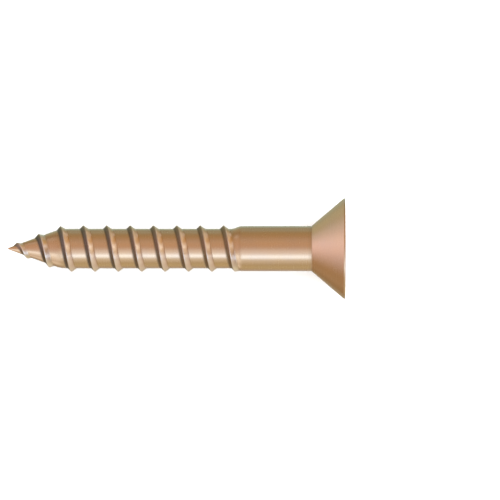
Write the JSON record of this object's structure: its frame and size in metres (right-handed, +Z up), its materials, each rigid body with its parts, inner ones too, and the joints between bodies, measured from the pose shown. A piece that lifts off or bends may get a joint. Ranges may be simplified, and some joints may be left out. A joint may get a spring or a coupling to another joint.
{
  "type": "flat head wood screw",
  "caption": "Flat head wood screw with a square drive recess, plain shank, right-hand single-start thread and gimlet point, in bare bronze.",
  "frame": {"origin": "on the floor, at the middle of the screw's bounding box; the screw lies at rest on its side", "axes": "+Z up from the floor; +X points from the tip to the head as seen from above. The screw's own axis lies in the XZ plane and rises 5.8 degrees from the tip to the head, because the head's rim and the thread touch the floor"},
  "size_m": [0.0384, 0.0114, 0.0113],
  "materials": {
    "silicon_bronze": "bare drawn bronze, smooth, with faint turning marks"
  },
  "bodies": {
    "root": {"screw": "silicon_bronze"}
  },
  "joints": []
}
